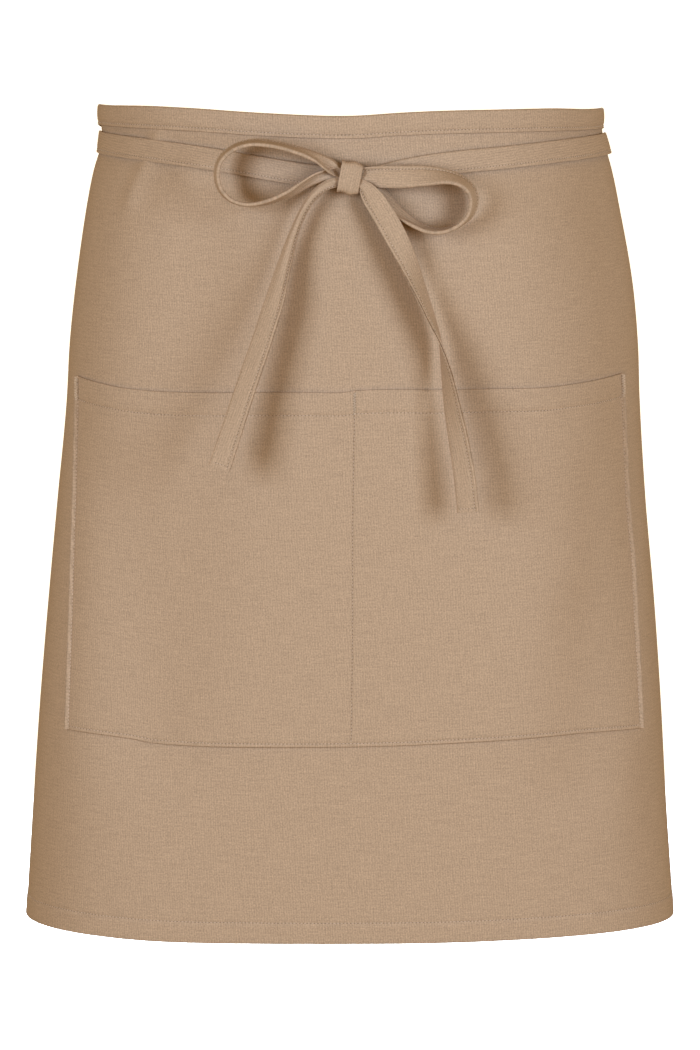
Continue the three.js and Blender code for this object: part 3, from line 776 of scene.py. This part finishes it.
def both_faces(middle, facing, stand):
    """A row of small stitches on each face of a tape, at a distance off its middle."""
    return [
        seam_stitches(middle + face * facing * stand, face * facing, TAPE_STITCH_PITCH, TAPE_STITCH_LENGTH)
        for face in (-1, 1)
    ]


def tape_seams(centres, across, facing, width, stitched=1, fullness=1):
    """The stitches along the open edge of a tape, on both its faces."""
    facing = facing * tape_fullness(width, fullness)[:, None]
    place = stitched * (TAPE_SEAM / TAPE_WIDTH - 0.5)
    return both_faces(centres + across * (place * width)[:, None], facing, TAPE_STITCH_STAND)


tape_twill = twill_finish("beige_twill_tape", TWILL_COLOR, 87)
around = np.linspace(TIE_RUN[0, 0], TIE_RUN[-1, 0], 240)
left_level, right_level, width, left_stand, right_stand, flare = smooth_table(TIE_RUN, around).T
for name, side, level, stand, tilt in (
    ("tie_left", -1, left_level, left_stand, 0 * flare),
    ("tie_right", 1, right_level, right_stand, flare),
):
    along = side * around
    centres = drape(along, level, stand)
    upper = drape(along, level + width / 2, stand - tilt / 2)
    across = unit(upper - drape(along, level - width / 2, stand + tilt / 2))
    facing = unit(np.cross(np.gradient(centres, axis=0), across) * -side)
    tie = tape_piece(name + "_tape", centres, across, facing, width)
    tie_stitches = sew(name + "_stitches", tape_seams(centres, across, facing, width))
    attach(tie, "root")
    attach(tie_stitches, "root")
    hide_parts(name)


# Bow loops: beyond the knot each tape is doubled back into a loop, which stands on its edge off the panel.
# The loops are gathered where the knot squeezes them.
BOW_LEVEL = -38.7 * MM
LOOP_FULLNESS = 1.9
knot_panel_front = smooth_table(BODY_SECTIONS, BOW_LEVEL)[0, 1]

# The bow's tapes, in mm and degrees: place to the side, distance in front of the panel, level, turn about
# the tape's own length (0 shows its face to the front, 90 its edge), and width.
LOOP_LEFT = [
    (-1.2, 7.05, -27, 180, 8.5), (-7.6, 7.05, -24.4, 180, 8), (-13, 8.4, -21, 145, 10.5),
    (-20, 9.6, -17, 115, 12.5), (-32, 10, -12.4, 100, 13.5), (-47, 10, -8.8, 97, 13.5),
    (-60, 10, -8.3, 96, 13.5), (-70, 10, -11.8, 96, 13.5), (-77, 10, -18.5, 97, 13.5),
    (-79, 10, -27.3, 98, 13.5), (-77, 10, -35.4, 98, 13.5), (-71, 10, -41.8, 96, 13.5),
    (-61.5, 10, -44.6, 94, 13.5), (-51, 10, -43.5, 98, 13.5), (-38.5, 9.4, -39.4, 108, 13.5),
    (-27, 7.8, -32.7, 124, 12), (-16.6, 6.7, -28, 150, 9.5), (-7.6, 5.2, -26.6, 174, 8.5),
    (-1.2, 5.15, -27.4, 180, 8.5),
]
LOOP_RIGHT = [
    (1.2, 7.05, -29.2, 0, 10), (8, 7.2, -28.6, 0, 11.5), (16, 7.5, -28.4, 3, 13), (30, 9, -28.4, 16, 13.5),
    (45, 9.6, -27.9, 37, 13.5), (58, 9.8, -28.4, 61, 13.5), (67, 9.4, -31.6, 70, 13.5),
    (72, 8.8, -36.8, 71, 13.5), (73.4, 8.5, -43.5, 72, 13.5), (71.3, 8.4, -50.8, 77, 13.5),
    (66, 8.4, -56.2, 84, 13.5), (59.5, 8.4, -59.4, 90, 13.5), (52.5, 8.4, -60.6, 95, 13.5),
    (45, 8.2, -59.5, 99, 13.5), (38, 7.6, -56.3, 107, 13), (31.5, 6.4, -51.8, 122, 12),
    (25.5, 6, -46.8, 136, 11.8), (19, 5.5, -41, 156, 11.4), (12.5, 5.15, -35.4, 170, 11),
    (7.2, 5.15, -31.6, 178, 10), (1.2, 5.15, -29.8, 180, 9.5),
]


def tape_line(table, step=1.2 * MM):
    """Even stations along a smooth line through a table's rows: middle, way across, way it faces, width."""
    table = np.array(table, float)
    marks = np.column_stack([table[:, 0], -table[:, 1], table[:, 2]]) * MM - (0, knot_panel_front, 0)
    padded = np.vstack([2 * marks[0] - marks[1], marks, 2 * marks[-1] - marks[-2]])
    gaps = np.sqrt(np.linalg.norm(np.diff(padded, axis=0), axis=1))[:, None]
    slopes = np.diff(padded, axis=0) / gaps
    skips = (padded[2:] - padded[:-2]) / (gaps[:-1] + gaps[1:])
    leans = slopes[:-1] - skips + slopes[1:]
    fine = np.linspace(0, len(marks) - 1, 40 * len(marks))
    row = np.minimum(fine.astype(int), len(marks) - 2)
    part = (fine - row)[:, None]
    reach = gaps[1:-1][row]
    line = curve_between(part, marks[row], marks[row + 1], reach * leans[row], reach * leans[row + 1])
    run = np.append(0, np.cumsum(np.linalg.norm(np.diff(line, axis=0), axis=1)))
    even = np.linspace(0, run[-1], int(run[-1] / step))
    centres = np.column_stack([np.interp(even, run, line[:, axis]) for axis in range(3)])
    turns = np.column_stack([np.arange(len(table)), table[:, 3:]])
    turn, width = smooth_table(turns, np.interp(even, run, fine)).T
    tangent = unit(np.gradient(centres, axis=0))
    flat = unit(np.cross(tangent, (0, -1, 0)))
    front = np.cross(flat, tangent)
    turn = np.radians(turn)[:, None]
    across = flat * np.cos(turn) + front * np.sin(turn)
    return centres, across, np.cross(across, tangent), width * MM


for name, table in (("bow_loop_left", LOOP_LEFT), ("bow_loop_right", LOOP_RIGHT)):
    line = tape_line(table)
    loop = tape_piece(name + "_tape", *line, fullness=LOOP_FULLNESS)
    loop_stitches = sew(name + "_stitches", tape_seams(*line, fullness=LOOP_FULLNESS))
    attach(loop, "root")
    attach(loop_stitches, "root")
    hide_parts(name)


# Tie ends: the two free ends of the tapes hang from the knot in front of the panel and twist as they fall.
# Each end is tucked in and closed with a short row of stitches.
END_FULLNESS = 1.5
END_PLEAT = 0.4
CLOSING_STAND = 1.04 * MM
CLOSING_STOPS = np.linspace(-0.4, 0.4, 9) * TAPE_WIDTH
# The closing row crosses the tape at the third station from its tip.
CLOSING_STATION = -3

# The hanging ends, with the columns of the loops.
END_LEFT = [
    (-1.2, 8.95, -32, 0, 6), (-8.6, 9, -31.6, -4, 6), (-14.6, 10.6, -33.6, -20, 6.2),
    (-21.4, 11.4, -39, -24, 6), (-27, 11.2, -47.2, -26, 5.8), (-32.7, 11.4, -60, -26, 6.4),
    (-38.6, 12.5, -78.8, -28, 9.8), (-44.8, 16.5, -101.4, -30, 13), (-52.6, 19.4, -125.7, -30, 13.5),
    (-62.4, 23.2, -154.1, -28, 13.5), (-70.4, 26.8, -178.2, -23, 13.5), (-77.6, 29.4, -199.9, -16, 13.5),
]
END_RIGHT = [
    (1.2, 8.95, -32.2, 0, 7), (7, 9.1, -33.4, 0, 7.5), (13.6, 11, -40.8, 0, 12.5),
    (23.5, 13.4, -56.6, 0, 13.5), (32.7, 14, -74.6, 30, 13.5), (41.6, 13.6, -95.5, 58, 13.5),
    (48.6, 13.8, -113, 74, 13.5), (53.6, 14.5, -126.5, 90, 13.5), (57, 16, -142, 112, 13.5),
    (60.7, 21, -163.6, 134, 13.5), (65, 23.5, -186.5, 150, 13.5), (68.2, 24.5, -206.5, 158, 13.5),
    (70.4, 25, -226.9, 162, 13.5),
]

for name, table, stitched in (("tie_end_left", END_LEFT, 1), ("tie_end_right", END_RIGHT, -1)):
    line = tape_line(table)
    centres, across, facing, width = line
    tie_end = tape_piece(name + "_tape", *line, stitched, fullness=END_FULLNESS, pleat=END_PLEAT)
    closing = CLOSING_STOPS[:, None] * across[CLOSING_STATION] + centres[CLOSING_STATION]
    outward = np.tile(facing[CLOSING_STATION], (len(closing), 1))
    end_seams = tape_seams(*line, stitched, fullness=END_FULLNESS)
    end_stitches = sew(name + "_stitches", end_seams + both_faces(closing, outward, CLOSING_STAND))
    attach(tie_end, "root")
    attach(end_stitches, "root")
    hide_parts(name)


# Knot: the turn of one tape round the others at the middle of the bow, pulled tight and leaning a little.
# Its edges roll inwards where it squeezes the loops.
KNOT_WIDTH = 12.9 * MM
KNOT_HALF_HEIGHT = 9 * MM
KNOT_HALF_DEPTH = 4.6 * MM
KNOT_CORNER = 2.6 * MM
KNOT_LEAN = math.radians(10.5)
KNOT_LEVEL = -29 * MM
KNOT_STAND = 6.1 * MM
KNOT_BULGE = 0.7 * MM
KNOT_CURL = 0.4 * MM

# The knot's turn as a rounded box, seen from its end: four round corners about a core, then even stops.
knot_core = (KNOT_HALF_DEPTH - KNOT_CORNER, KNOT_HALF_HEIGHT - KNOT_CORNER)
knot_corners = np.radians(np.linspace(0, 90, 7))
knot_quarter = np.column_stack([np.cos(knot_corners), np.sin(knot_corners)]) * KNOT_CORNER
knot_outline = np.vstack([
    (knot_quarter[:: signs[0] * signs[1]] + knot_core) * signs
    for signs in ((1, 1), (-1, 1), (-1, -1), (1, -1))
])
knot_outline = np.vstack([knot_outline, knot_outline[:1]])
knot_run = np.append(0, np.cumsum(np.linalg.norm(np.diff(knot_outline, axis=0), axis=1)))
knot_even = np.linspace(0, knot_run[-1], 73)
knot_depth = np.interp(knot_even, knot_run, knot_outline[:, 0])
knot_rise = np.interp(knot_even, knot_run, knot_outline[:, 1])
knot_bulge = KNOT_BULGE * np.cos(np.pi / 2 * np.clip(knot_rise / KNOT_HALF_HEIGHT, -1, 1))
knot_depth += knot_bulge * (knot_depth > 0)
knot_up = np.array((math.sin(KNOT_LEAN), 0, math.cos(KNOT_LEAN)))
knot_across = np.array((math.cos(KNOT_LEAN), 0, -math.sin(KNOT_LEAN)))
knot_middle = np.array((0, -knot_panel_front - KNOT_STAND, KNOT_LEVEL))
knot_centres = knot_middle + knot_depth[:, None] * (0, -1, 0) + knot_rise[:, None] * knot_up
knot_tangent = unit(np.roll(knot_centres[:-1], -1, axis=0) - np.roll(knot_centres[:-1], 1, axis=0))
knot_tangent = np.vstack([knot_tangent, knot_tangent[:1]])
knot_side = np.tile(knot_across, (len(knot_centres), 1))
knot_facing = np.cross(knot_tangent, knot_side)
knot_facing *= np.sign(np.sum(knot_facing * (knot_centres - knot_middle), axis=1))[:, None]
knot_width = np.full(len(knot_centres), KNOT_WIDTH)
knot = tape_piece(
    "bow_knot_tape", knot_centres, knot_side, knot_facing, knot_width, curl=KNOT_CURL, ends=False
)

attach(knot, "root")
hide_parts("bow_knot")


# Studio: a white floor and backdrop that only the camera sees, a soft light to the left and to the right
# of the front, a wide one behind, and an even warm fill from all round.
FLOOR_LEVEL = -0.9
LIGHT_DISTANCE = 2.6
LIGHT_LEVEL = 0.15
LIGHT_HEIGHT = 1.4
LIGHT_TILT = math.radians(83)
LIGHT_COLOR = (0.786, 1.018, 1.31)
# Lights: name, degrees round from the front, width and power.
LIGHTS = (("key_left", -40, 0.95, 41.4), ("key_right", 40, 0.95, 45), ("back_light", 180, 1.2, 60))
FILL_COLOR = (1.0, 0.655, 0.135)
FILL_STRENGTH = 0.43
CAMERA_DISTANCE = 3.6
CAMERA_LEVEL = 0.236
CAMERA_TILT = math.radians(90 - 7.718)
CAMERA_LENS = 201.79

bpy.ops.object.select_all(action="DESELECT")
bpy.ops.mesh.primitive_plane_add(size=60, location=(0, 0, FLOOR_LEVEL))
floor = bpy.context.object
floor.name = "floor"
bpy.ops.object.transform_apply(location=True)
bpy.ops.mesh.primitive_uv_sphere_add(segments=48, ring_count=24, radius=40)
backdrop = bpy.context.object
backdrop.name = "backdrop"
white = bpy.data.materials.new("white_studio")
white.use_nodes = True
white_shader = white.node_tree.nodes["Principled BSDF"]
white_shader.inputs["Base Color"].default_value = (0.9, 0.9, 0.9, 1)
white_shader.inputs["Emission Color"].default_value = (1, 1, 1, 1)
white_shader.inputs["Emission Strength"].default_value = 1.0
for stage in (floor, backdrop):
    stage.data.materials.append(white)
    stage.visible_diffuse = False
    stage.visible_glossy = False
    stage.visible_shadow = False

for name, azimuth, light_width, energy in LIGHTS:
    angle = math.radians(azimuth)
    bpy.ops.object.light_add(
        type="AREA",
        location=(LIGHT_DISTANCE * math.sin(angle), -LIGHT_DISTANCE * math.cos(angle), LIGHT_LEVEL),
        rotation=(LIGHT_TILT, 0, angle),
    )
    lamp = bpy.context.object
    lamp.name = name
    lamp.data.shape = "RECTANGLE"
    lamp.data.size = light_width
    lamp.data.size_y = LIGHT_HEIGHT
    lamp.data.energy = energy
    lamp.data.color = LIGHT_COLOR

world = bpy.data.worlds.new("studio_fill")
bpy.context.scene.world = world
world.use_nodes = True
fill = world.node_tree.nodes["Background"]
fill.inputs["Color"].default_value = FILL_COLOR + (1,)
fill.inputs["Strength"].default_value = FILL_STRENGTH

bpy.ops.object.camera_add(location=(0, -CAMERA_DISTANCE, CAMERA_LEVEL), rotation=(CAMERA_TILT, 0, 0))
camera = bpy.context.object
camera.data.sensor_width = 36
camera.data.lens = CAMERA_LENS
camera.data.clip_end = 100
bpy.context.scene.camera = camera
bpy.context.scene.view_settings.view_transform = "Standard"
bpy.context.scene.view_settings.gamma = 0.8
